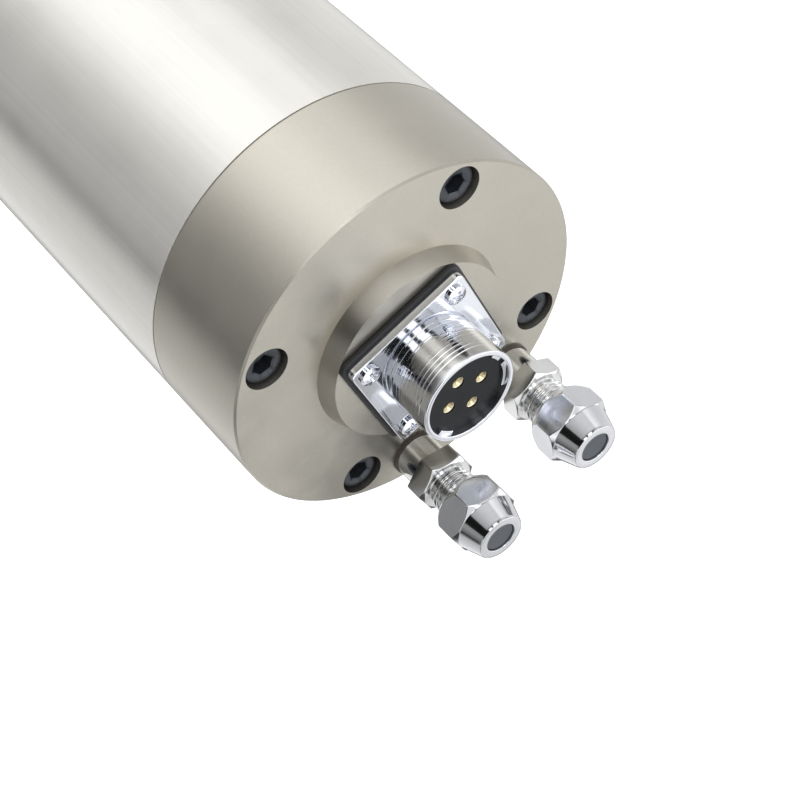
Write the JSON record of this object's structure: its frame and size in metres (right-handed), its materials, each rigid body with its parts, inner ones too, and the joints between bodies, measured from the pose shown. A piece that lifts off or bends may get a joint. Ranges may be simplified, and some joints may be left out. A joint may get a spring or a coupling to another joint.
{
  "type": "motor spindle",
  "caption": "Water-cooled 80 mm motor spindle with a spring collet at the tool end, a round multi-pin connector and two water fittings on the rear cap.",
  "frame": {"origin": "centre of the collet's front face, at the mouth of the tool bore, on the spindle's axis", "axes": "+Z along the spindle's axis from the tool end to the rear cap, +Y towards the two water fittings, +X towards the inlet fitting"},
  "size_m": [0.08, 0.08, 0.2784],
  "materials": {
    "tube_steel": "turned and polished",
    "cap_steel": "satin plated",
    "cover_steel": "fine turned",
    "inner_steel": "turned",
    "shaft_steel": "ground",
    "bearing_steel": "ground and polished",
    "collet_steel": "ground",
    "nut_steel": "hardened, bright",
    "black_screws": "black oxide",
    "black_rubber": "matt",
    "seal_fibre": "oiled fibre",
    "lamination": "stacked sheet",
    "copper": "varnished wire",
    "rotor_aluminium": "die cast",
    "cage_resin": "machined resin",
    "connector_nickel": "bright nickel",
    "fitting_nickel": "nickel plated, turned",
    "nut_nickel": "polished nickel",
    "insulator": "moulded",
    "contact_gold": "gold plated",
    "ferrule_brass": "turned",
    "plug_plastic": "moulded"
  },
  "bodies": {
    "housing": {"housing_tube": "tube_steel", "front_flange": "tube_steel", "front_cover": "cover_steel", "front_cover_screws": "black_screws", "front_flange_screws": "black_screws", "front_gasket": "black_rubber", "rear_gasket": "black_rubber", "rear_cap": "cap_steel", "rear_cap_screws": "black_screws", "rear_bearing_plate": "inner_steel", "stator_core": "lamination", "stator_windings": "copper", "motor_leads": "black_rubber", "front_outer_rings": "bearing_steel", "front_outer_spacer": "inner_steel", "rear_outer_rings": "bearing_steel", "preload_spring": "bearing_steel", "connector_gasket": "black_rubber", "connector_shell": "connector_nickel", "connector_insert": "insulator", "connector_contacts": "contact_gold", "connector_screws": "connector_nickel", "inlet_fitting": "fitting_nickel", "outlet_fitting": "fitting_nickel", "inlet_seal": "seal_fibre", "outlet_seal": "seal_fibre"},
    "rotor": {"shaft": "shaft_steel", "rotor_core": "lamination", "rotor_cage": "rotor_aluminium", "slinger": "cover_steel", "front_inner_rings": "bearing_steel", "front_inner_spacer": "inner_steel", "front_lock_nut": "black_screws", "rear_inner_rings": "bearing_steel", "rear_lock_nut": "black_screws"},
    "front_ball_set": {"front_balls": "bearing_steel", "front_cages": "cage_resin"},
    "rear_ball_set": {"rear_balls": "bearing_steel", "rear_cages": "cage_resin"},
    "collet": {"collet": "collet_steel"},
    "collet_nut": {"collet_nut": "nut_steel"},
    "inlet_ferrule": {"inlet_ferrule": "ferrule_brass"},
    "inlet_nut": {"inlet_nut": "nut_nickel"},
    "inlet_plug": {"inlet_plug": "plug_plastic"},
    "outlet_ferrule": {"outlet_ferrule": "ferrule_brass"},
    "outlet_nut": {"outlet_nut": "nut_nickel"},
    "outlet_plug": {"outlet_plug": "plug_plastic"}
  },
  "joints": [
    {"name": "shaft_spin", "type": "hinge", "parent": "housing", "child": "rotor", "pos_m": [0, 0, 0.1], "axis": [0, 0, 1], "continuous": true},
    {"name": "front_ball_spin", "type": "hinge", "parent": "housing", "child": "front_ball_set", "pos_m": [0, 0, 0.057], "axis": [0, 0, 1], "continuous": true},
    {"name": "rear_ball_spin", "type": "hinge", "parent": "housing", "child": "rear_ball_set", "pos_m": [0, 0, 0.21], "axis": [0, 0, 1], "continuous": true},
    {"name": "collet_slide", "type": "slide", "parent": "rotor", "child": "collet", "axis": [0, 0, -1], "range_m": [0, 0.0061]},
    {"name": "collet_nut_turn", "type": "hinge", "parent": "collet", "child": "collet_nut", "pos_m": [0, 0, 0.01], "axis": [0, 0, -1], "range_deg": [0, 1440]},
    {"name": "inlet_ferrule_slide", "type": "slide", "parent": "housing", "child": "inlet_ferrule", "axis": [0, 0, 1], "range_m": [0, 0.0071]},
    {"name": "inlet_nut_turn", "type": "hinge", "parent": "inlet_ferrule", "child": "inlet_nut", "pos_m": [0.013, 0.03169, 0.27], "axis": [0, 0, 1], "range_deg": [0, 2520]},
    {"name": "inlet_plug_slide", "type": "slide", "parent": "inlet_ferrule", "child": "inlet_plug", "axis": [0, 0, 1], "range_m": [0, 0.02]},
    {"name": "outlet_ferrule_slide", "type": "slide", "parent": "housing", "child": "outlet_ferrule", "axis": [0, 0, 1], "range_m": [0, 0.0071]},
    {"name": "outlet_nut_turn", "type": "hinge", "parent": "outlet_ferrule", "child": "outlet_nut", "pos_m": [-0.013, 0.03169, 0.27], "axis": [0, 0, 1], "range_deg": [0, 2520]},
    {"name": "outlet_plug_slide", "type": "slide", "parent": "outlet_ferrule", "child": "outlet_plug", "axis": [0, 0, 1], "range_m": [0, 0.02]}
  ],
  "couplings": [
    {"joint": "front_ball_spin", "follows": "shaft_spin", "ratio": 0.4148},
    {"joint": "rear_ball_spin", "follows": "shaft_spin", "ratio": 0.4022},
    {"joint": "collet_slide", "follows": "collet_nut_turn", "m_per_rad": 0.00023873},
    {"joint": "inlet_ferrule_slide", "follows": "inlet_nut_turn", "m_per_rad": 0.00015915},
    {"joint": "outlet_ferrule_slide", "follows": "outlet_nut_turn", "m_per_rad": 0.00015915}
  ]
}
